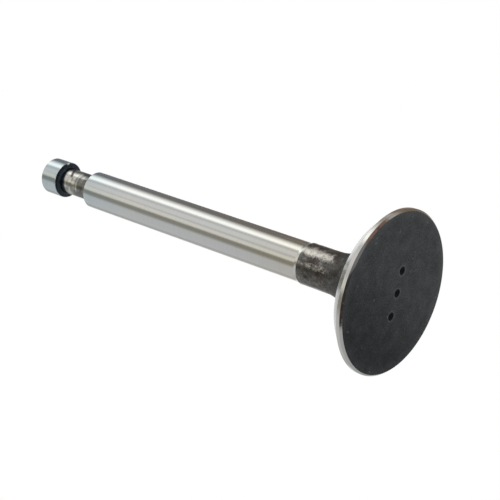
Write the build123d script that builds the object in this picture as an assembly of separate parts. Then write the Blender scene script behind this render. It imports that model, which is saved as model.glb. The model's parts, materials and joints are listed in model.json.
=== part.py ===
from build123d import *
import os
from math import radians, tan

# Poppet valve of a small petrol engine, forged in one piece, turned and ground.
# Millimetres. Origin at the centre of the head's flat face, +Z along the stem to
# its tip, so the valve stands on its head.

# Head
head_diameter = 32.0
face_bevel_width = 0.35     # edge of the flat face, measured across the face
face_bevel_height = 0.45    # the same bevel, measured along the axis
margin_height = 0.7         # plain rim between the bevel and the seat
seat_width = 2.3            # ground seat, measured along the radius
seat_angle = 45.0           # from the plane of the head
underside_angle = 30.0      # from the plane of the head

# Forged neck between the head and the ground stem
neck_diameter = 8.4
neck_top = 20.2             # height of the shoulder where the forged skin ends
neck_bevel = 0.7            # length of the run-out from the neck down to the stem
underside_radius = 8.5      # fillet from the neck into the underside of the head

# Ground stem
stem_diameter = 8.0
stem_end = 80.8             # height where the keeper groove starts
stem_chamfer = 0.2

# Keeper groove, and the button that the keeper bears on. The button is ground
# with the stem, because it has to pass through the valve guide.
groove_diameter = 5.65
groove_length = 9.25
groove_root_radius = 0.6    # both inner corners of the groove
button_length = 4.85
button_edge_break = 0.1     # inner edge, against the keeper
tip_chamfer = 0.4           # outer edge, under the tappet

# Places that follow from the sizes above
head_radius = head_diameter / 2
face_radius = head_radius - face_bevel_width
margin_top = face_bevel_height + margin_height
seat_small_radius = head_radius - seat_width
seat_top = margin_top + seat_width * tan(radians(seat_angle))
neck_radius = neck_diameter / 2
underside_rise = (seat_small_radius - neck_radius) * tan(radians(underside_angle))
neck_root = seat_top + underside_rise
stem_radius = stem_diameter / 2
stem_start = neck_top + neck_bevel
groove_radius = groove_diameter / 2
button_start = stem_end + groove_length
tip = button_start + button_length

# Corners of the half section, as (radius, height), from the face up to the tip
face_centre = (0, 0)
face_edge = (face_radius, 0)
margin_foot = (head_radius, face_bevel_height)
seat_large_end = (head_radius, margin_top)
seat_small_end = (seat_small_radius, seat_top)
underside_corner = (neck_radius, neck_root)
neck_shoulder = (neck_radius, neck_top)
stem_foot = (stem_radius, stem_start)
stem_corner = (stem_radius, stem_end)
groove_foot = (groove_radius, stem_end)
groove_head = (groove_radius, button_start)
button_inner_edge = (stem_radius, button_start)
button_outer_edge = (stem_radius, tip)
tip_centre = (0, tip)


def corner(section, place):
    """The vertex of the half section that lies at one (radius, height)."""
    radius, height = place
    return section.vertices().sort_by_distance((radius, 0, height))[0]


def half_section():
    """Half section of the valve, with its fillets and broken edges."""
    outline = Polyline(
        face_centre, face_edge, margin_foot, seat_large_end, seat_small_end,
        underside_corner, neck_shoulder, stem_foot, stem_corner, groove_foot,
        groove_head, button_inner_edge, button_outer_edge, tip_centre, close=True)
    section = Plane.XZ * make_face(outline)
    section = fillet(corner(section, underside_corner), underside_radius)
    for root in (groove_foot, groove_head):
        section = fillet(corner(section, root), groove_root_radius)
    edge_breaks = (
        (stem_corner, stem_chamfer),
        (button_inner_edge, button_edge_break),
        (button_outer_edge, tip_chamfer),
    )
    for place, size in edge_breaks:
        section = chamfer(corner(section, place), size)
    return section


valve = revolve(half_section(), Axis.Z, 360)

os.makedirs("parts", exist_ok=True)
export_step(valve, "parts/valve.step")
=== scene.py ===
import json
import math
from collections import namedtuple

import bpy
from mathutils import Matrix, Vector, noise


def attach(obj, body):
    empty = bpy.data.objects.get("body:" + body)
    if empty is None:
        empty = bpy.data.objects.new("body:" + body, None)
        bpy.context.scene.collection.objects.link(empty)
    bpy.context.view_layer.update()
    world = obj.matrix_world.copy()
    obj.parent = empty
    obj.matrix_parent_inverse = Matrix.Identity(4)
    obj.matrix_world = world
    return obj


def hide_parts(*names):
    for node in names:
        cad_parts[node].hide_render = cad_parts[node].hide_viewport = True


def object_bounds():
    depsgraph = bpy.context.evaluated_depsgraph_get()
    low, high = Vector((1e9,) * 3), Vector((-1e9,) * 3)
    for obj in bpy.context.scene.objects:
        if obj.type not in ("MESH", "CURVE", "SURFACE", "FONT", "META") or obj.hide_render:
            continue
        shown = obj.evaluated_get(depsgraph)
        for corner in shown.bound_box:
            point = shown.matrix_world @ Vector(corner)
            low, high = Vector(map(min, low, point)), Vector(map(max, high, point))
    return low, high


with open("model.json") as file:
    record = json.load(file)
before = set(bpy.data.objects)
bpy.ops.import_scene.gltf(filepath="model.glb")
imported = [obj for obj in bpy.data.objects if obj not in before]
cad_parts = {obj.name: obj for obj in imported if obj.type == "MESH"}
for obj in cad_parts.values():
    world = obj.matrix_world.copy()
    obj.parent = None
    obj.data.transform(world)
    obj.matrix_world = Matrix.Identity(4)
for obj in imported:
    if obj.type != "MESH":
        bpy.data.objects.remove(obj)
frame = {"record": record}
cad_low, cad_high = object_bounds()
MM = 0.001

# ---------------------------------------------------------------------------
# Face of the head: the flat side towards the flame. It was forged and wire-brushed
# but never machined, so it keeps its thin black scale. A fitter's three prick-punch
# dots stand in a row across it, each with the burr that the punch threw up.

head_radius = min(cad_high.x, -cad_low.x, cad_high.y, -cad_low.y)
face_bevel_width = 0.35 * MM
face_radius = head_radius - face_bevel_width
face_edge_radius = 0.06 * MM
punch_dots = ((4.4, -0.2), (0.2, 0.7), (-4.2, 1.3))     # places on the face in mm
punch_radius = 0.9 * MM
punch_depth = 0.5 * MM
burr_width = 0.22 * MM
burr_height = 0.04 * MM
face_height = burr_height           # the valve stands on its burrs
hollow_depth = 0.015 * MM           # faint hollows that the forging left
hollow_size = 3.0 * MM

Run = namedtuple("Run", "end edge spacing finish relief")
runs = []        # straight runs of the half section, from the face's centre to the tip's
finishes = []    # the material of each run, in the order that the sections add them


def linear(colour):
    """An sRGB hex colour as the linear numbers that a shader takes."""
    shares = [int(colour[i:i + 2], 16) / 255 for i in (1, 3, 5)]
    return [s / 12.92 if s <= 0.04045 else ((s + 0.055) / 1.055) ** 2.4 for s in shares] + [1.0]


def add(tree, kind, links=None, stops=(), **settings):
    """Adds a node: links holds a value or a socket for each input, stops a ramp's colours."""
    made = tree.nodes.new("ShaderNode" + kind)
    for name, value in settings.items():
        setattr(made, name, value)
    for name, value in (links or {}).items():
        if isinstance(value, bpy.types.NodeSocket):
            tree.links.new(value, made.inputs[name])
        else:
            made.inputs[name].default_value = value
    for i, (place, colour) in enumerate(stops):
        points = made.color_ramp.elements
        point = points[i] if i < 2 else points.new(1.0)
        point.position = place
        point.color = linear(colour)
    return made


def bare_material(name):
    """A new material with an empty node tree, and that tree."""
    material = bpy.data.materials.new(name)
    material.use_nodes = True
    material.node_tree.nodes.clear()
    return material, material.node_tree


def run(end, edge, spacing, finish, relief=None):
    """The half section's next straight run. Its far corner is rounded to the edge radius,
    its rows of vertices are spacing apart, and relief lifts a point off the true surface."""
    runs.append(Run(Vector(end), edge, spacing, finish, relief))
    if finish not in finishes:
        finishes.append(finish)


def face_relief(place):
    """Lift of the face at a place: the punch dots, their burrs, and faint forging hollows."""
    lift = hollow_depth * noise.noise(place / hollow_size) - hollow_depth / 2
    for x, y in punch_dots:
        away = (Vector((x * MM, y * MM)) - place.xy).length - punch_radius
        lift += burr_height * math.exp(-(away / burr_width) ** 2)
        lift += min(0.0, away) * punch_depth / punch_radius
    return min(lift, burr_height)


# Black forging scale, wire-brushed. It looks dark bluish grey with a soft sheen: a fine
# grit and faint clouds. It gets paler towards one side, which is painted light, half of the
# shading gradient across the face, and it is paler at the edge. A few pale flecks lie on it.
# The punch dots are dark inside, painted shade as well as dirt, and their burrs are rubbed
# grey, partly as a painted highlight.
cloud_size = 3.0 * MM
face_grit = 0.25 * MM
painted_light_side = (1.0, 0.15, 0.0)
painted_light_start = -11 * MM            # it gets paler towards that side from here
painted_light_stop = 1 * MM               # to here
pale_edge_width = 2 * MM               # width of the paler edge
fleck_spacing = 2.5 * MM
fleck_edge = 0.11                   # radius of a fleck as a share of the spacing,
fleck_core = 0.05                   # and of its palest part
shaded_share = 0.85                  # share of a dot's radius that is dark inside, painted shade and dirt

black_scale, tree = bare_material("black_scale_wire_brushed")
place = add(tree, "TexCoord").outputs["Object"]
clouds = add(tree, "TexNoise", {"Vector": place, "Scale": 1 / cloud_size, "Detail": 3.0, "Roughness": 0.6})
grit = add(tree, "TexNoise", {"Vector": place, "Scale": 1 / face_grit, "Detail": 3.0, "Roughness": 0.6})
mottle = add(tree, "Mix", {"Factor": 0.65, "A": clouds.outputs["Fac"], "B": grit.outputs["Fac"]},
             data_type="FLOAT")
# Painted light: the scale gets paler towards one side, half of the face's shading gradient.
across = add(tree, "VectorMath", {0: place, 1: painted_light_side}, operation="DOT_PRODUCT")
gradient = add(tree, "MapRange", {"Value": across.outputs["Value"], "From Min": painted_light_start,
                                 "From Max": painted_light_stop, "To Min": -0.15, "To Max": 0.07})
paler = add(tree, "Math", {0: mottle.outputs["Result"], 1: gradient.outputs["Result"]}, operation="ADD")
outwards = add(tree, "VectorMath", {0: place}, operation="LENGTH")
edge = add(tree, "MapRange", {"Value": outwards.outputs["Value"], "From Min": face_radius - pale_edge_width,
                              "From Max": face_radius, "To Max": 0.14})
paler = add(tree, "Math", {0: paler.outputs["Value"], 1: edge.outputs["Result"]}, operation="ADD")
skin = add(tree, "ValToRGB", {"Fac": paler.outputs["Value"]},
           stops=((0.30, "#1a1b1d"), (0.50, "#2d2f30"), (0.70, "#3f4142")))
cells = add(tree, "TexVoronoi", {"Vector": place, "Scale": 1 / fleck_spacing})
fleck = add(tree, "MapRange", {"Value": cells.outputs["Distance"], "From Min": fleck_edge,
                               "From Max": fleck_core, "To Max": 0.32})
skin = add(tree, "Mix", {"Factor": fleck.outputs["Result"], "A": skin.outputs["Color"],
                         "B": linear("#6f7174")}, data_type="RGBA")
nearest = 1.0
for x, y in punch_dots:
    away = add(tree, "VectorMath", {0: place, 1: (x * MM, y * MM, face_height)}, operation="DISTANCE")
    nearest = add(tree, "Math", {0: away.outputs["Value"], 1: nearest}, operation="MINIMUM").outputs["Value"]
# The burrs round the dots are paler grey: partly rubbed wear, partly a painted highlight.
rubbed_and_highlight = add(tree, "MapRange", {"Value": nearest, "From Min": punch_radius + 2 * burr_width,
                                "From Max": punch_radius, "To Max": 0.22}, interpolation_type="SMOOTHSTEP")
worn = add(tree, "Mix", {"Factor": rubbed_and_highlight.outputs["Result"], "A": skin.outputs["Result"],
                         "B": linear("#66696c")}, data_type="RGBA")
# Painted shade: the punch dots are darkened inside, as well as by dirt.
shaded_hollow = add(tree, "MapRange", {"Value": nearest, "From Min": punch_radius,
                              "From Max": punch_radius * shaded_share})
tone = add(tree, "Mix", {"Factor": shaded_hollow.outputs["Result"], "A": worn.outputs["Result"],
                         "B": linear("#0e0f10")}, data_type="RGBA")
sheen = add(tree, "MapRange", {"Value": mottle.outputs["Result"], "From Min": 0.35, "From Max": 0.65,
                               "To Min": 0.60, "To Max": 0.48})
rough = add(tree, "Bump", {"Height": grit.outputs["Fac"], "Strength": 0.4, "Distance": 0.03 * MM})
shader = add(tree, "BsdfPrincipled", {"Base Color": tone.outputs["Result"], "Metallic": 0.2,
                                      "Specular IOR Level": 0.06, "Roughness": sheen.outputs["Result"],
                                      "Normal": rough.outputs["Normal"]})
add(tree, "OutputMaterial", {"Surface": shader.outputs["BSDF"]})

face_centre = Vector((0.0, face_height))
run((face_radius, face_height), face_edge_radius, spacing=0.2 * MM, finish=black_scale, relief=face_relief)

# ---------------------------------------------------------------------------
# Rim of the head: the bevel that takes the sharp corner off the face, and the margin,
# the plain cylinder above it that keeps the edge thick. Both were turned on a lathe,
# lightly enough to leave some of the scale in the bevel.

face_bevel_height = 0.45 * MM
margin_height = 0.7 * MM
margin_top = face_bevel_height + margin_height
rim_edge_radius = 0.06 * MM
margin_edge_radius = 0.05 * MM

# Turned heat-resisting steel: bright, with fine rings of tool marks that smear its
# highlights along the axis, drawn a little coarser than real ones so that they show. Heat
# stained the head brown on one side. The seat is darker on another side, painted shade for
# a darker reflection there, and the margin and the bevel are greyer on a third, painted
# shade too.
turned_rings = 0.15 * MM
turned_drift = 16.6666667 * MM      # a ring changes its tone over this distance
stained_side = (0.975, -0.22, 0.0)
darker_seat_side = (0.0, -1.0, 0.0)
painted_shade_side = (-0.966, 0.259, 0.0)
painted_shade_start = 0.83 * head_radius   # this far towards that side it starts to get grey
painted_shade_full = 0.965 * head_radius
edge_fade = 0.1 * MM                # both end this softly where the margin meets the seat

turned, tree = bare_material("turned_steel")
place = add(tree, "TexCoord").outputs["Object"]
stretched = add(tree, "Mapping",
                {"Vector": place, "Scale": (1 / turned_drift, 1 / turned_drift, 1 / turned_rings)})
rings = add(tree, "TexNoise", {"Vector": stretched.outputs["Vector"], "Scale": 1.0, "Detail": 3.0})
tone = add(tree, "ValToRGB", {"Fac": rings.outputs["Fac"]},
           stops=((0.35, "#bbbab7"), (0.65, "#cdccc9")))
facing = add(tree, "VectorMath", {0: place, 1: stained_side}, operation="DOT_PRODUCT")
stain = add(tree, "MapRange", {"Value": facing.outputs["Value"], "From Min": 0.87 * head_radius,
                               "From Max": 0.98 * head_radius}, interpolation_type="SMOOTHSTEP")
tone = add(tree, "Mix", {"Factor": stain.outputs["Result"], "A": tone.outputs["Color"],
                         "B": linear("#8e7d70")}, data_type="RGBA")
# Painted shade: the seat is darker towards -Y, for a darker reflection there.
facing = add(tree, "VectorMath", {0: place, 1: darker_seat_side}, operation="DOT_PRODUCT")
darker_seat = add(tree, "MapRange", {"Value": facing.outputs["Value"], "From Min": 0.84 * head_radius,
                                "From Max": 0.94 * head_radius}, interpolation_type="SMOOTHSTEP")
height = add(tree, "SeparateXYZ", {"Vector": place}).outputs["Z"]
on_seat = add(tree, "MapRange", {"Value": height, "From Min": margin_top,
                                 "From Max": margin_top + edge_fade})
darker_seat = add(tree, "Math", {0: darker_seat.outputs["Result"], 1: on_seat.outputs["Result"]}, operation="MULTIPLY")
tone = add(tree, "Mix", {"Factor": darker_seat.outputs["Value"], "A": tone.outputs["Result"],
                         "B": linear("#a3a29c")}, data_type="RGBA")
# Painted shade: the margin is greyer on a third side.
facing = add(tree, "VectorMath", {0: place, 1: painted_shade_side}, operation="DOT_PRODUCT")
painted_shade_mask = add(tree, "MapRange", {"Value": facing.outputs["Value"], "From Min": painted_shade_start,
                                "From Max": painted_shade_full})
on_margin = add(tree, "MapRange", {"Value": height, "From Min": margin_top + edge_fade,
                                   "From Max": margin_top})
painted_shade_mask = add(tree, "Math", {0: painted_shade_mask.outputs["Result"], 1: on_margin.outputs["Result"]},
             operation="MULTIPLY")
tone = add(tree, "Mix", {"Factor": painted_shade_mask.outputs["Value"], "A": tone.outputs["Result"],
                         "B": linear("#868583")}, data_type="RGBA")
grooves = add(tree, "Bump", {"Height": rings.outputs["Fac"], "Strength": 0.3, "Distance": 0.02 * MM})
around = add(tree, "Tangent", direction_type="RADIAL", axis="Z")
shader = add(tree, "BsdfPrincipled", {"Base Color": tone.outputs["Result"], "Metallic": 1.0,
                                      "Roughness": 0.24, "Anisotropic": 0.6, "Anisotropic Rotation": 0.25,
                                      "Tangent": around.outputs["Tangent"],
                                      "Normal": grooves.outputs["Normal"]})
add(tree, "OutputMaterial", {"Surface": shader.outputs["BSDF"]})

# Half-turned bevel: bright steel where the tool reached, stained, and greyer with painted
# shade, as above, and brown-black scale where it missed, along about a third of the rim.
# The scale is browner towards the stain, and on one short stretch it is thin and grey.
scale_patch = 3.5 * MM
missed_side = (0.13, -1.0, 0.0)
missed_start = 10.5 * MM            # this far towards that side the tool starts to miss,
missed_stop = 14.0 * MM             # and here it misses nearly everywhere
browner_start = 1 * MM              # the scale gets browner along X from here
browner_stop = 8 * MM               # to here
wiped_side = (0.25, -0.97, 0.0)

half_turned, tree = bare_material("turned_steel_with_scale_left")
place = add(tree, "TexCoord").outputs["Object"]
patches = add(tree, "TexNoise", {"Vector": place, "Scale": 1 / scale_patch, "Detail": 4.0,
                                 "Roughness": 0.6})
missed = add(tree, "VectorMath", {0: place, 1: missed_side}, operation="DOT_PRODUCT")
reach = add(tree, "MapRange", {"Value": missed.outputs["Value"], "From Min": missed_start,
                               "From Max": missed_stop, "To Min": -0.14, "To Max": 0.30})
left = add(tree, "Math", {0: patches.outputs["Fac"], 1: reach.outputs["Result"]}, operation="ADD")
scaled = add(tree, "MapRange", {"Value": left.outputs["Value"], "From Min": 0.52, "From Max": 0.66})
side = add(tree, "SeparateXYZ", {"Vector": place}).outputs["X"]
browner = add(tree, "MapRange", {"Value": side, "From Min": browner_start, "From Max": browner_stop,
                                 "To Min": -0.10, "To Max": 0.08})
browned = add(tree, "Math", {0: patches.outputs["Fac"], 1: browner.outputs["Result"]}, operation="ADD")
crust = add(tree, "ValToRGB", {"Fac": browned.outputs["Value"]},
            stops=((0.38, "#2b2828"), (0.48, "#453835"), (0.62, "#74594d")))
facing = add(tree, "VectorMath", {0: place, 1: wiped_side}, operation="DOT_PRODUCT")
wiped = add(tree, "MapRange", {"Value": facing.outputs["Value"], "From Min": 0.962 * head_radius,
                               "From Max": 0.984 * head_radius, "To Max": 0.8},
            interpolation_type="SMOOTHSTEP")
crust = add(tree, "Mix", {"Factor": wiped.outputs["Result"], "A": crust.outputs["Color"],
                          "B": linear("#7a7a7b")}, data_type="RGBA")
facing = add(tree, "VectorMath", {0: place, 1: stained_side}, operation="DOT_PRODUCT")
stain = add(tree, "MapRange", {"Value": facing.outputs["Value"], "From Min": 0.89 * head_radius,
                               "From Max": 0.98 * head_radius}, interpolation_type="SMOOTHSTEP")
steel = add(tree, "Mix", {"Factor": stain.outputs["Result"], "A": linear("#b4b4b3"),
                          "B": linear("#8f8272")}, data_type="RGBA")
# Painted shade: the bevel's steel is greyer on that third side too.
facing = add(tree, "VectorMath", {0: place, 1: painted_shade_side}, operation="DOT_PRODUCT")
painted_shade_mask = add(tree, "MapRange", {"Value": facing.outputs["Value"], "From Min": painted_shade_start,
                                "From Max": painted_shade_full})
steel = add(tree, "Mix", {"Factor": painted_shade_mask.outputs["Result"], "A": steel.outputs["Result"],
                          "B": linear("#777776")}, data_type="RGBA")
tone = add(tree, "Mix", {"Factor": scaled.outputs["Result"], "A": steel.outputs["Result"],
                         "B": crust.outputs["Result"]}, data_type="RGBA")
metal = add(tree, "MapRange", {"Value": scaled.outputs["Result"], "To Min": 1.0, "To Max": 0.5})
sheen = add(tree, "MapRange", {"Value": scaled.outputs["Result"], "To Min": 0.28, "To Max": 0.5})
rough = add(tree, "Bump", {"Height": patches.outputs["Fac"], "Strength": 0.3, "Distance": 0.05 * MM})
shader = add(tree, "BsdfPrincipled", {"Base Color": tone.outputs["Result"],
                                      "Metallic": metal.outputs["Result"],
                                      "Roughness": sheen.outputs["Result"],
                                      "Normal": rough.outputs["Normal"]})
add(tree, "OutputMaterial", {"Surface": shader.outputs["BSDF"]})

run((head_radius, face_bevel_height), rim_edge_radius, spacing=0.15 * MM, finish=half_turned)
run((head_radius, margin_top), margin_edge_radius, spacing=0.2 * MM, finish=turned)

# ---------------------------------------------------------------------------
# Seat: the 45 degree cone that closes on the seat ring of the cylinder head. A wheel
# ground it, true to the stem, after the head was turned, and left rings much like
# those of the margin.

seat_width = 2.3 * MM
seat_angle = math.radians(45)
seat_edge_radius = 0.05 * MM
seat_small_radius = head_radius - seat_width
seat_top = margin_top + seat_width * math.tan(seat_angle)
run((seat_small_radius, seat_top), seat_edge_radius, spacing=0.3 * MM, finish=turned)

# ---------------------------------------------------------------------------
# Underside of the head and the neck, left as they came from the forging die: a 30
# degree cone that sweeps up into the neck, slightly thicker than the ground stem.

neck_radius = 4.2 * MM
neck_top = 20.2 * MM
neck_bevel = 0.7 * MM
neck_edge_radius = 0.15 * MM
underside_angle = math.radians(30)
underside_radius = 8.5 * MM
neck_root = seat_top + (seat_small_radius - neck_radius) * math.tan(underside_angle)
wave_size = 2.6 * MM                # the forged skin's unevenness: waves,
wave_height = 0.06 * MM
ripple_size = 0.9 * MM              # ripples on them,
ripple_height = 0.03 * MM
skin_sink = 0.02 * MM               # and the whole skin a little sunk
seat_fade = 1.0 * MM                # it fades out over these lengths
stem_fade = 0.5 * MM


def forged_relief(place):
    """Unevenness of the forged skin at a place. It fades out at the machined faces."""
    below = (neck_top + neck_bevel - place.z) / stem_fade
    fade = max(0.0, min(1.0, (place.z - seat_top) / seat_fade, below))
    waves = wave_height * noise.noise(place / wave_size)
    ripples = ripple_height * noise.noise(place / ripple_size)
    return (waves + ripples - skin_sink) * fade


# Forging scale: a grey-black crust with rust-brown and grey spots. It is dull and sooty
# by the head, and rustier on one side. Towards the stem it is thinner, paler and
# glossier. Along one side the steel shows through, partly where the neck was rubbed and
# partly as a painted highlight, with a fainter streak of it beside that, a painted
# highlight too.
spot_size = 1.1 * MM
scale_grit = 0.3 * MM
rust_size = 2.4 * MM
rusty_side = (1.0, 0.0, 0.0)
rubbed_highlight_side = (0.59, -0.81, 0.0)
streak_highlight_side = (-0.08, -1.0, 0.0)
rubbed_highlight_start = 10.8 * MM            # heights between which the rubbed patch comes in
rubbed_highlight_full = 13.6 * MM
sooty_start = 13.0 * MM             # heights between which the soot comes in, downwards
sooty_full = 10.0 * MM
paler_length = 2.5 * MM             # how far the paler end reaches down from the stem
dull_height = 11 * MM
glossy_height = 16 * MM

scale, tree = bare_material("forging_scale")
place = add(tree, "TexCoord").outputs["Object"]
height = add(tree, "SeparateXYZ", {"Vector": place}).outputs["Z"]
spots = add(tree, "TexNoise", {"Vector": place, "Scale": 1 / spot_size, "Detail": 5.0, "Roughness": 0.62})
grit = add(tree, "TexNoise", {"Vector": place, "Scale": 1 / scale_grit, "Detail": 4.0, "Roughness": 0.6})
rust = add(tree, "TexNoise", {"Vector": place, "Scale": 1 / rust_size, "Detail": 2.0})
mottle = add(tree, "Mix", {"Factor": 0.4, "A": spots.outputs["Fac"], "B": grit.outputs["Fac"]},
             data_type="FLOAT")
paler = add(tree, "MapRange", {"Value": height, "From Min": neck_top - paler_length,
                               "From Max": neck_top, "To Max": 0.06})
sooty = add(tree, "MapRange", {"Value": height, "From Min": sooty_start, "From Max": sooty_full,
                               "To Max": -0.12})
thinned = add(tree, "Math", {0: mottle.outputs["Result"], 1: paler.outputs["Result"]}, operation="ADD")
thinned = add(tree, "Math", {0: thinned.outputs["Value"], 1: sooty.outputs["Result"]}, operation="ADD")
crust = add(tree, "ValToRGB", {"Fac": thinned.outputs["Value"]},
            stops=((0.36, "#3b3a38"), (0.46, "#4f4e4b"), (0.56, "#62615d"), (0.68, "#878580")))
rusty = add(tree, "ValToRGB", {"Fac": thinned.outputs["Value"]},
            stops=((0.36, "#2d2827"), (0.52, "#4d4643"), (0.68, "#786e69")))
facing = add(tree, "VectorMath", {0: place, 1: rusty_side}, operation="DOT_PRODUCT")
rustier = add(tree, "MapRange", {"Value": facing.outputs["Value"], "From Min": 0.7 * neck_radius,
                                 "From Max": 0.95 * neck_radius, "To Max": 0.09})
rust = add(tree, "Math", {0: rust.outputs["Fac"], 1: rustier.outputs["Result"]}, operation="ADD")
rusted = add(tree, "MapRange", {"Value": rust.outputs["Value"], "From Min": 0.50, "From Max": 0.62})
tone = add(tree, "Mix", {"Factor": rusted.outputs["Result"], "A": crust.outputs["Color"],
                         "B": rusty.outputs["Color"]}, data_type="RGBA")
# Painted highlight, partly rubbed wear: a patch of bare steel along one side of the neck.
facing = add(tree, "VectorMath", {0: place, 1: rubbed_highlight_side}, operation="DOT_PRODUCT")
side = add(tree, "MapRange", {"Value": facing.outputs["Value"], "From Min": 0.88 * neck_radius,
                              "From Max": 0.985 * neck_radius, "To Min": -0.5, "To Max": 0.10})
# Painted highlight: a fainter streak of bare steel beside the patch.
facing = add(tree, "VectorMath", {0: place, 1: streak_highlight_side}, operation="DOT_PRODUCT")
highlight_streak = add(tree, "MapRange", {"Value": facing.outputs["Value"], "From Min": 0.968 * neck_radius,
                                "From Max": 0.996 * neck_radius, "To Min": -0.5, "To Max": -0.06})
side = add(tree, "Math", {0: side.outputs["Result"], 1: highlight_streak.outputs["Result"]}, operation="MAXIMUM")
along = add(tree, "MapRange", {"Value": height, "From Min": rubbed_highlight_start, "From Max": rubbed_highlight_full,
                               "To Min": -0.5, "To Max": 0.0})
bare_and_highlight = add(tree, "Math", {0: side.outputs["Value"], 1: along.outputs["Result"]}, operation="ADD")
bare_and_highlight = add(tree, "Math", {0: bare_and_highlight.outputs["Value"], 1: mottle.outputs["Result"]}, operation="ADD")
bare_and_highlight = add(tree, "MapRange", {"Value": bare_and_highlight.outputs["Value"], "From Min": 0.40, "From Max": 0.66})
tone = add(tree, "Mix", {"Factor": bare_and_highlight.outputs["Result"], "A": tone.outputs["Result"],
                         "B": linear("#bab7b1")}, data_type="RGBA")
gradient = add(tree, "MapRange", {"Value": height, "From Min": dull_height, "From Max": glossy_height,
                                 "To Min": 0.46, "To Max": 0.15})
sheen = add(tree, "Math", {0: spots.outputs["Fac"], 1: 0.13, 2: gradient.outputs["Result"]},
            operation="MULTIPLY_ADD")
rough = add(tree, "Bump", {"Height": mottle.outputs["Result"], "Strength": 0.25, "Distance": 0.05 * MM})
shader = add(tree, "BsdfPrincipled", {"Base Color": tone.outputs["Result"], "Metallic": 0.85,
                                      "Roughness": sheen.outputs["Value"],
                                      "Normal": rough.outputs["Normal"]})
add(tree, "OutputMaterial", {"Surface": shader.outputs["BSDF"]})

run((neck_radius, neck_root), underside_radius, spacing=0.3 * MM, finish=scale, relief=forged_relief)
run((neck_radius, neck_top), neck_edge_radius, spacing=0.3 * MM, finish=scale, relief=forged_relief)

# ---------------------------------------------------------------------------
# Stem: centreless ground to a sliding fit in the valve guide. It runs out into the
# forged neck over a short cone, and a small chamfer ends it at the keeper groove.

stem_mount = next(m for m in frame["record"]["mounts"] if m["name"] == "stem")
stem_radius = stem_mount["dims"]["r_mm"] * MM
stem_start = neck_top + neck_bevel
stem_end = 80.8 * MM
stem_chamfer = 0.2 * MM
stem_foot_radius = 0.1 * MM
stem_edge_radius = 0.05 * MM

# Ground steel: bright and nearly smooth, with hair-fine rings left by the wheel, drawn
# coarser than they are so that they show. A film of oil tints it faintly yellow by the
# neck, and the flame that hardened the tip left it faintly blue there.
ground_rings = 0.15 * MM
ground_drift = 25 * MM
oil_length = 16 * MM                # how far the oil's tint reaches up from the neck
heat_start = stem_end - 12 * MM     # heights between which the blue tint comes in
heat_full = stem_end + 4 * MM

ground, tree = bare_material("ground_steel")
place = add(tree, "TexCoord").outputs["Object"]
stretched = add(tree, "Mapping",
                {"Vector": place, "Scale": (1 / ground_drift, 1 / ground_drift, 1 / ground_rings)})
rings = add(tree, "TexNoise", {"Vector": stretched.outputs["Vector"], "Scale": 1.0, "Detail": 4.0})
tone = add(tree, "ValToRGB", {"Fac": rings.outputs["Fac"]},
           stops=((0.35, "#c2c2c0"), (0.65, "#c9c9c7")))
height = add(tree, "SeparateXYZ", {"Vector": place}).outputs["Z"]
oily = add(tree, "MapRange", {"Value": height, "From Min": stem_start + oil_length,
                              "From Max": stem_start})
heated = add(tree, "MapRange", {"Value": height, "From Min": heat_start, "From Max": heat_full})
film = add(tree, "Mix", {"Factor": heated.outputs["Result"], "A": linear("#ffffff"),
                         "B": linear("#f0faff")}, data_type="RGBA")
film = add(tree, "Mix", {"Factor": oily.outputs["Result"], "A": film.outputs["Result"],
                         "B": linear("#fffcf5")}, data_type="RGBA")
tone = add(tree, "Mix", {"Factor": 1.0, "A": tone.outputs["Color"], "B": film.outputs["Result"]},
           data_type="RGBA", blend_type="MULTIPLY")
grooves = add(tree, "Bump", {"Height": rings.outputs["Fac"], "Strength": 0.12, "Distance": 0.02 * MM})
around = add(tree, "Tangent", direction_type="RADIAL", axis="Z")
shader = add(tree, "BsdfPrincipled", {"Base Color": tone.outputs["Result"], "Metallic": 1.0,
                                      "Roughness": 0.17, "Anisotropic": 0.6, "Anisotropic Rotation": 0.25,
                                      "Tangent": around.outputs["Tangent"],
                                      "Normal": grooves.outputs["Normal"]})
add(tree, "OutputMaterial", {"Surface": shader.outputs["BSDF"]})

run((stem_radius, stem_start), stem_foot_radius, spacing=0.2 * MM, finish=ground)
run((stem_radius, stem_end - stem_chamfer), stem_edge_radius, spacing=2.0 * MM, finish=ground)
run((stem_radius - stem_chamfer, stem_end), stem_edge_radius, spacing=0.2 * MM, finish=ground)

# ---------------------------------------------------------------------------
# Keeper groove: turned with a round-nosed tool, which left its feed marks, for the
# keeper that holds the spring retainer.

groove_radius = 2.825 * MM
groove_length = 9.25 * MM
groove_root_radius = 0.6 * MM
button_start = stem_end + groove_length
feed = 0.45 * MM
feed_mark_depth = 0.016 * MM
unmarked_roots = 0.8                # root radii at each end that have no marks


def feed_marks(place):
    """Depth of the tool's marks: round-bottomed rings, one each turn of the work."""
    ends = min(place.z - stem_end, button_start - place.z) / groove_root_radius
    fade = max(0.0, min(1.0, ends - unmarked_roots))
    return -feed_mark_depth * fade * abs(math.cos(math.pi * place.z / feed))


# Rough-turned steel: the same metal, duller and a little yellow, with painted shade on two
# sides, towards its outline. Oil darkens it towards the stem, it is blue-black next to the
# button, and a dark broken line runs across it. The oil, the blue-black and the line end
# on a slant, which the vectors give.
rough_rings = 0.5 * MM
rough_drift = 7.6923077 * MM
blot_size = 1.6 * MM
oil_slope = (0.45, 0.0, 1.0)
oil_full = stem_end + 2.6 * MM
oil_end = stem_end + 4.9 * MM
side_shade_start = 1.4 * MM              # how far out to each side the painted shade comes in
side_shade_full = 2.4 * MM
dark_line_height = 88.3 * MM
dark_line_slope = (-0.09, -0.62, 1.0)
dark_line_width = 0.30 * MM
blue_black_length = 1.6 * MM             # how far the blue runs from the button
blue_black_slope = (-0.14, 0.0, 1.0)
blue_black_fade = 0.2 * MM

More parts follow.
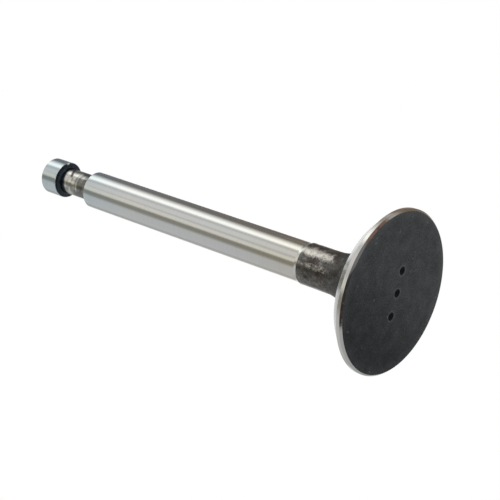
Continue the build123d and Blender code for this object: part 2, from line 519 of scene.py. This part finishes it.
rough_turned, tree = bare_material("rough_turned_steel")
place = add(tree, "TexCoord").outputs["Object"]
stretched = add(tree, "Mapping",
                {"Vector": place, "Scale": (1 / rough_drift, 1 / rough_drift, 1 / rough_rings)})
rings = add(tree, "TexNoise", {"Vector": stretched.outputs["Vector"], "Scale": 1.0, "Detail": 3.0})
blots = add(tree, "TexNoise", {"Vector": place, "Scale": 1 / blot_size, "Detail": 2.0})
front = add(tree, "VectorMath", {0: place, 1: oil_slope}, operation="DOT_PRODUCT")
oily = add(tree, "MapRange", {"Value": front.outputs["Value"], "From Min": oil_full,
                              "From Max": oil_end, "To Min": -0.20, "To Max": 0.04})
stain = add(tree, "Mix", {"Factor": 0.6, "A": rings.outputs["Fac"], "B": blots.outputs["Fac"]},
            data_type="FLOAT")
stained = add(tree, "Math", {0: stain.outputs["Result"], 1: oily.outputs["Result"]}, operation="ADD")
across = add(tree, "SeparateXYZ", {"Vector": place}).outputs["X"]
# Painted shade: the groove gets darker on both sides towards its outline.
sideways = add(tree, "Math", {0: across}, operation="ABSOLUTE")
side_shade = add(tree, "MapRange", {"Value": sideways.outputs["Value"], "From Min": side_shade_start,
                               "From Max": side_shade_full, "To Max": -0.13})
stained = add(tree, "Math", {0: stained.outputs["Value"], 1: side_shade.outputs["Result"]}, operation="ADD")
tone = add(tree, "ValToRGB", {"Fac": stained.outputs["Value"]},
           stops=((0.26, "#696865"), (0.42, "#96938d"), (0.50, "#bdbab2"), (0.62, "#cfccc4")))
slanted = add(tree, "VectorMath", {0: place, 1: dark_line_slope}, operation="DOT_PRODUCT")
above = add(tree, "Math", {0: slanted.outputs["Value"], 1: dark_line_height}, operation="SUBTRACT")
above = add(tree, "Math", {0: above.outputs["Value"]}, operation="ABSOLUTE")
line = add(tree, "MapRange", {"Value": above.outputs["Value"], "From Min": 2 * dark_line_width,
                              "From Max": dark_line_width / 2}, interpolation_type="SMOOTHSTEP")
share = add(tree, "MapRange", {"Value": across, "From Min": -groove_radius, "From Max": groove_radius})
broken = add(tree, "ValToRGB", {"Fac": share.outputs["Result"]},
             stops=((0.20, "#000000"), (0.28, "#bcbcbc"), (0.40, "#bcbcbc"), (0.47, "#000000"),
                    (0.58, "#000000"), (0.70, "#ffffff")))
dark_line = add(tree, "Math", {0: line.outputs["Result"], 1: broken.outputs["Color"]}, operation="MULTIPLY")
tone = add(tree, "Mix", {"Factor": dark_line.outputs["Value"], "A": tone.outputs["Color"],
                         "B": linear("#4b4a4c")}, data_type="RGBA")
front = add(tree, "VectorMath", {0: place, 1: blue_black_slope}, operation="DOT_PRODUCT")
blue_black_mask = add(tree, "MapRange", {"Value": front.outputs["Value"],
                                  "From Min": button_start - blue_black_length - blue_black_fade,
                                  "From Max": button_start - blue_black_length + blue_black_fade})
tone = add(tree, "Mix", {"Factor": blue_black_mask.outputs["Result"], "A": tone.outputs["Result"],
                         "B": linear("#2a2f37")}, data_type="RGBA")
around = add(tree, "Tangent", direction_type="RADIAL", axis="Z")
shader = add(tree, "BsdfPrincipled", {"Base Color": tone.outputs["Result"], "Metallic": 1.0,
                                      "Roughness": 0.24, "Anisotropic": 0.5, "Anisotropic Rotation": 0.25,
                                      "Tangent": around.outputs["Tangent"]})
add(tree, "OutputMaterial", {"Surface": shader.outputs["BSDF"]})

run((groove_radius, stem_end), groove_root_radius, spacing=0.15 * MM, finish=rough_turned)
run((groove_radius, button_start), groove_root_radius, spacing=0.11 * MM, finish=rough_turned,
    relief=feed_marks)

# ---------------------------------------------------------------------------
# Button at the tip. The keeper bears on its inner shoulder and the tappet on its end.
# The end was flame-hardened, which blued the shoulder black, and then the outside was
# ground again with the stem.

tip = cad_high.z
button_edge_break = 0.1 * MM
button_edge_radius = 0.03 * MM
tip_chamfer = 0.4 * MM
tip_edge_radius = 0.12 * MM

# Hardening scale: a thin blue-black skin, almost without shine, with one bright spot of
# steel in its edge, a nick drawn as a painted glint.
skin_grit = 0.5 * MM
glint_place = (3.6 * MM, -1.7 * MM, button_start)
glint_radius = 0.5 * MM
glint_core = 0.3 * MM

blued, tree = bare_material("flame_blued_steel")
place = add(tree, "TexCoord").outputs["Object"]
grit = add(tree, "TexNoise", {"Vector": place, "Scale": 1 / skin_grit, "Detail": 4.0})
tone = add(tree, "ValToRGB", {"Fac": grit.outputs["Fac"]},
           stops=((0.35, "#20272e"), (0.65, "#303942")))
# Painted glint: a small spot of bright steel in the shoulder's edge.
away = add(tree, "VectorMath", {0: place, 1: glint_place}, operation="DISTANCE")
glint = add(tree, "MapRange", {"Value": away.outputs["Value"], "From Min": glint_radius,
                              "From Max": glint_core})
tone = add(tree, "Mix", {"Factor": glint.outputs["Result"], "A": tone.outputs["Color"],
                         "B": linear("#c8cac9")}, data_type="RGBA")
rough = add(tree, "Bump", {"Height": grit.outputs["Fac"], "Strength": 0.3, "Distance": 0.02 * MM})
shader = add(tree, "BsdfPrincipled", {"Base Color": tone.outputs["Result"], "Metallic": 0.6,
                                      "Specular IOR Level": 0.2, "Roughness": 0.45,
                                      "Normal": rough.outputs["Normal"]})
add(tree, "OutputMaterial", {"Surface": shader.outputs["BSDF"]})

# Ground end: faint rings from the wheel, drawn coarser than they are so that they show,
# and in the middle a spot that the tappet has rubbed smoother and darker.
end_rings = 0.25 * MM
spot_blots = 1.2 * MM               # they make the spot's edge ragged
raggedness = 1.6 * MM
worn_full = 2.1 * MM                # reach of the spot with the raggedness added,
worn_end = 3.3 * MM                 # and where it has faded out

end_ground, tree = bare_material("ground_steel_worn_by_tappet")
place = add(tree, "TexCoord").outputs["Object"]
flat = add(tree, "VectorMath", {0: place, 1: (1.0, 1.0, 0.0)}, operation="MULTIPLY")
outwards = add(tree, "VectorMath", {0: flat.outputs["Vector"]}, operation="LENGTH").outputs["Value"]
rings = add(tree, "TexNoise", {"Vector": outwards, "Scale": 1 / end_rings, "Detail": 3.0})
blots = add(tree, "TexNoise", {"Vector": place, "Scale": 1 / spot_blots, "Detail": 3.0})
tone = add(tree, "ValToRGB", {"Fac": rings.outputs["Fac"]},
           stops=((0.35, "#b9bab9"), (0.65, "#cfd0cf")))
ragged = add(tree, "Math", {0: blots.outputs["Fac"], 1: raggedness, 2: outwards}, operation="MULTIPLY_ADD")
worn = add(tree, "MapRange", {"Value": ragged.outputs["Value"], "From Min": worn_end,
                              "From Max": worn_full}, interpolation_type="SMOOTHSTEP")
tone = add(tree, "Mix", {"Factor": worn.outputs["Result"], "A": tone.outputs["Color"],
                         "B": linear("#b5b5b2")}, data_type="RGBA")
sheen = add(tree, "MapRange", {"Value": worn.outputs["Result"], "To Min": 0.28, "To Max": 0.18})
grooves = add(tree, "Bump", {"Height": rings.outputs["Fac"], "Strength": 0.25, "Distance": 0.02 * MM})
shader = add(tree, "BsdfPrincipled", {"Base Color": tone.outputs["Result"], "Metallic": 1.0,
                                      "Roughness": sheen.outputs["Result"],
                                      "Normal": grooves.outputs["Normal"]})
add(tree, "OutputMaterial", {"Surface": shader.outputs["BSDF"]})

run((stem_radius - button_edge_break, button_start), button_edge_radius, spacing=0.2 * MM, finish=blued)
run((stem_radius, button_start + button_edge_break), button_edge_radius, spacing=0.1 * MM, finish=ground)
run((stem_radius, tip - tip_chamfer), tip_edge_radius, spacing=0.5 * MM, finish=ground)
run((stem_radius - tip_chamfer, tip), tip_edge_radius, spacing=0.2 * MM, finish=ground)
run((0.0, tip), 0.0, spacing=0.4 * MM, finish=end_ground)

# ---------------------------------------------------------------------------
# The whole valve: one piece of steel, the half section above turned about its axis.

spokes = 240                        # vertices in each ring
corner_steps = 4                    # the fewest steps round a corner
sharp_angle = math.radians(35)


def half_section():
    """Rows of the half section, each with its place, outward normal, finish and relief."""
    rows = []
    start = face_centre
    for this, after in zip(runs, runs[1:] + [None]):
        along = (this.end - start).normalized()
        stop = this.end
        if after:
            ahead = (after.end - this.end).normalized()
            turn = along.angle(ahead)
            stop = this.end - along * this.edge * math.tan(turn / 2)
        steps = max(1, round((stop - start).length / this.spacing))
        for k in range(steps + 1):
            rows.append((start.lerp(stop, k / steps), Vector((along.y, -along.x)), this.finish, this.relief))
        if after:
            inward = (ahead - along * math.cos(turn)).normalized()
            centre = stop + inward * this.edge
            steps = max(corner_steps, round(this.edge * turn / this.spacing))
            for k in range(1, steps):
                swing = turn * k / steps
                heading = along * math.cos(swing) + inward * math.sin(swing)
                place = centre + (along * math.sin(swing) - inward * math.cos(swing)) * this.edge
                side = this if 2 * k < steps else after
                rows.append((place, Vector((heading.y, -heading.x)), side.finish, side.relief))
            start = this.end + ahead * this.edge * math.tan(turn / 2)
    return rows


points = []
sides = []
side_finish = []
before = None
for (radius, height), normal, finish, relief in half_section():
    first = len(points)
    ring = spokes if radius > 0 else 1      # the ends on the axis are single vertices
    for k in range(ring):
        spoke = Vector((math.cos(math.tau * k / spokes), math.sin(math.tau * k / spokes), 0.0))
        place = spoke * radius + Vector((0.0, 0.0, height))
        if relief:
            place += (spoke * normal.x + Vector((0.0, 0.0, normal.y))) * relief(place)
        points.append(place)
    if before:
        last_first, last_ring = before
        for k in range(spokes):
            n = (k + 1) % spokes
            corners = [last_first + k % last_ring, last_first + n % last_ring,
                       first + n % ring, first + k % ring]
            sides.append(list(dict.fromkeys(corners)))
            side_finish.append(finishes.index(finish))
    before = (first, ring)

mesh = bpy.data.meshes.new("poppet_valve")
mesh.from_pydata(points, [], sides)
for material in finishes:
    mesh.materials.append(material)
mesh.polygons.foreach_set("material_index", side_finish)
mesh.shade_smooth()
mesh.set_sharp_from_angle(angle=sharp_angle)
valve = bpy.data.objects.new("poppet_valve", mesh)
bpy.context.scene.collection.objects.link(valve)
even = valve.modifiers.new("weighted_normals", "WEIGHTED_NORMAL")
even.keep_sharp = True
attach(valve, "root")
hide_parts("valve")

# ---------------------------------------------------------------------------
# Studio: pale paper to stand on, in a white room with soft lamps. The paper fades out
# into the room, and it hides nothing from below, so that the face can be looked at too.

floor_gap = 0.05 * MM
floor_half = 2.0
fade_start = 0.12                   # the paper is whole up to here from the valve,
fade_stop = 0.7                     # and gone from here on


def stage_mesh(name, points, sides, material):
    """A mesh of the studio, which isn't part of the valve and throws no shadow on it."""
    shape = bpy.data.meshes.new(name)
    shape.from_pydata(points, [], sides)
    shape.materials.append(material)
    thing = bpy.data.objects.new(name, shape)
    bpy.context.scene.collection.objects.link(thing)
    thing.visible_diffuse = False
    thing.visible_transmission = False
    thing.visible_shadow = False
    return thing


paper, tree = bare_material("pale_paper")
place = add(tree, "TexCoord").outputs["Object"]
top = add(tree, "BsdfDiffuse", {"Color": linear("#f4f4f2")})
nothing = add(tree, "BsdfTransparent")
away = add(tree, "VectorMath", {0: place}, operation="LENGTH")
faded = add(tree, "MapRange", {"Value": away.outputs["Value"], "From Min": fade_start,
                               "From Max": fade_stop}, interpolation_type="SMOOTHSTEP")
under = add(tree, "NewGeometry").outputs["Backfacing"]
clear = add(tree, "Math", {0: under, 1: faded.outputs["Result"]}, operation="MAXIMUM")
sheet = add(tree, "MixShader", {0: clear.outputs["Value"], 1: top.outputs["BSDF"],
                                2: nothing.outputs["BSDF"]})
add(tree, "OutputMaterial", {"Surface": sheet.outputs["Shader"]})
floor_corners = [(x * floor_half, y * floor_half, -floor_gap)
                 for x, y in ((-1, -1), (1, -1), (1, 1), (-1, 1))]
floor = stage_mesh("floor", floor_corners, [(0, 1, 2, 3)], paper)
floor.visible_glossy = False

# The room is white to look at, also in the steel. It lights the valve more softly.
room_light = 0.55

world = bpy.data.worlds.new("white_room")
bpy.context.scene.world = world
world.use_nodes = True
tree = world.node_tree
tree.nodes.clear()
ray = add(tree, "LightPath")
seen = add(tree, "Math", {0: ray.outputs["Is Camera Ray"], 1: ray.outputs["Is Glossy Ray"]},
           operation="MAXIMUM")
seen = add(tree, "Math", {0: seen.outputs["Value"], 1: ray.outputs["Is Transmission Ray"]},
           operation="MAXIMUM")
level = add(tree, "MapRange", {"Value": seen.outputs["Value"], "To Min": room_light, "To Max": 1.0})
room = add(tree, "Background", {"Color": (1.0, 1.0, 1.0, 1.0), "Strength": level.outputs["Result"]})
add(tree, "OutputWorld", {"Surface": room.outputs["Background"]})

lamp_aim = Vector((0, 0, 0.03))     # low on the valve


def lamp(name, place, size, power):
    """A round soft lamp that shines on the valve and shows neither to the camera nor in metal."""
    light = bpy.data.lights.new(name, "AREA")
    light.shape = "DISK"
    light.size = size
    light.energy = power
    thing = bpy.data.objects.new(name, light)
    thing.location = place
    thing.rotation_euler = (lamp_aim - Vector(place)).to_track_quat("-Z", "Y").to_euler()
    thing.visible_camera = False
    thing.visible_glossy = False
    bpy.context.scene.collection.objects.link(thing)


lamp("key_lamp", (0.45, -0.5, 0.8), size=0.5, power=4.0)
lamp("fill_lamp", (-0.6, 0.5, 0.6), size=0.6, power=2.0)
lamp("low_lamp", (0.06, 0.04, -0.07), size=0.06, power=0.05)

# Cards around the valve, which show only in its polished steel and draw the long
# bright and dark bands there. Azimuths are in degrees from -Y towards +X. Some cards
# lean, between two heights, and each has soft sides.

card_radius = 0.5
card_gap = 0.005                    # between one card and the next one in front of it
card_steps = 48                     # faces side by side in each card
true_height = 0.5                   # where a leaning card has its stated azimuths
lean_low = 0.1
lean_high = 0.9
card_foot = -0.9
card_heights = (card_foot, lean_low, 0.34, lean_high, 1.5)      # of its rows of points
low_tone_height = 0.35              # up to here a card has its low colour,
high_tone_height = 0.6              # and from here its high colour


def card(name, nearer, start, stop, soft, tones, strength=1.0, lean=(0.0, 0.0), foot=card_foot):
    """An upright strip of a cylinder from one azimuth to another, as they are at true_height.
    nearer counts the cards behind it, soft is the width of each soft side, tones are its low
    and its high colour, lean is how far each side goes in degrees a metre, foot its height."""
    radius = card_radius - nearer * card_gap
    first = start - soft[0] / 2
    last = stop + soft[1] / 2
    points = []
    shares = []
    for k in range(card_steps + 1):
        share = k / card_steps
        for height in card_heights:
            height = max(height, foot)
            up = min(max(height, lean_low), lean_high) - true_height
            degrees = (first + lean[0] * up) * (1 - share) + (last + lean[1] * up) * share
            azimuth = math.radians(degrees)
            points.append((math.sin(azimuth) * radius, -math.cos(azimuth) * radius, height))
            shares.append(share)
    rows = len(card_heights)
    sides = [(rows * k + r, rows * k + r + 1, rows * (k + 1) + r + 1, rows * (k + 1) + r)
             for k in range(card_steps) for r in range(rows - 1)]
    material, tree = bare_material(name)
    height = add(tree, "SeparateXYZ", {"Vector": add(tree, "TexCoord").outputs["Object"]}).outputs["Z"]
    up = add(tree, "MapRange", {"Value": height, "From Min": low_tone_height,
                                "From Max": high_tone_height})
    tone = add(tree, "Mix", {"Factor": up.outputs["Result"], "A": linear(tones[0]),
                             "B": linear(tones[1])}, data_type="RGBA")
    share = add(tree, "Attribute", attribute_name="share").outputs["Fac"]
    rise = add(tree, "MapRange", {"Value": share, "From Max": soft[0] / (last - first)},
               interpolation_type="SMOOTHSTEP")
    fall = add(tree, "MapRange", {"Value": share, "From Min": 1.0, "From Max": 1 - soft[1] / (last - first)},
               interpolation_type="SMOOTHSTEP")
    cover = add(tree, "Math", {0: rise.outputs["Result"], 1: fall.outputs["Result"]}, operation="MULTIPLY")
    glow = add(tree, "Emission", {"Color": tone.outputs["Result"], "Strength": strength})
    clear = add(tree, "BsdfTransparent")
    sheet = add(tree, "MixShader", {0: cover.outputs["Value"], 1: clear.outputs["BSDF"],
                                    2: glow.outputs["Emission"]})
    add(tree, "OutputMaterial", {"Surface": sheet.outputs["Shader"]})
    thing = stage_mesh(name, points, sides, material)
    thing.data.attributes.new("share", "FLOAT", "POINT").data.foreach_set("value", shares)
    thing.visible_camera = False


card("grey_wall", 0, start=-190, stop=190, soft=(10, 10), tones=("#dadada", "#dde1e4"))
card("side_card", 1, start=-150, stop=-120, soft=(14, 14), tones=("#c4c4c2", "#bdbdbb"))
card("dark_card", 2, start=-47, stop=-17, soft=(20, 12), tones=("#a09a8b", "#9ca09a"))
card("warm_white_card", 3, start=-17, stop=4.5, soft=(12, 6), tones=("#fffcf2", "#fffcf2"), lean=(0, 42))
card("white_card", 4, start=12, stop=37, soft=(6, 12), tones=("#f8f8f6", "#f6f6f4"))
card("grey_flag", 5, start=76, stop=160, soft=(10, 14), tones=("#b5aea3", "#b5aea3"), lean=(40, 0))
card("low_white_card", 6, start=103, stop=113, soft=(6, 6), tones=("#ffffff", "#ffffff"))
card("black_flag", 7, start=76, stop=160, soft=(10, 14), tones=("#7d746c", "#858c93"), lean=(40, 0),
     foot=0.32)
card("back_white_card", 8, start=167, stop=200, soft=(14, 14), tones=("#ffffff", "#ffffff"), lean=(0, -80))
card("back_strip_light", 9, start=162, stop=178, soft=(10, 8), tones=("#ffffff", "#ffffff"), strength=1.3,
     lean=(0, -60), foot=0.34)
card("strip_light", 10, start=54.5, stop=87.5, soft=(16, 48), tones=("#fffefa", "#fcffff"), strength=1.75,
     lean=(10, 63))

# ---------------------------------------------------------------------------
# Camera: low, looking up past the face along the stem, and rolled over.

camera_lens = 93.918                # mm
camera_sensor = 36.0                # mm
camera_place = Vector((0.0, -205.739, -123.373)) * MM
camera_target = Vector((-1.2534, 0.0, 34.9010)) * MM
camera_roll = math.radians(-70.596)

camera = bpy.data.objects.new("camera", bpy.data.cameras.new("camera"))
camera.data.lens = camera_lens
camera.data.sensor_width = camera_sensor
camera.location = camera_place
level_aim = (camera_target - camera_place).to_track_quat("-Z", "Y").to_matrix()
camera.rotation_euler = (level_aim @ Matrix.Rotation(camera_roll, 3, "Z")).to_euler()
bpy.context.scene.collection.objects.link(camera)
bpy.context.scene.camera = camera
bpy.context.scene.view_settings.view_transform = "Standard"
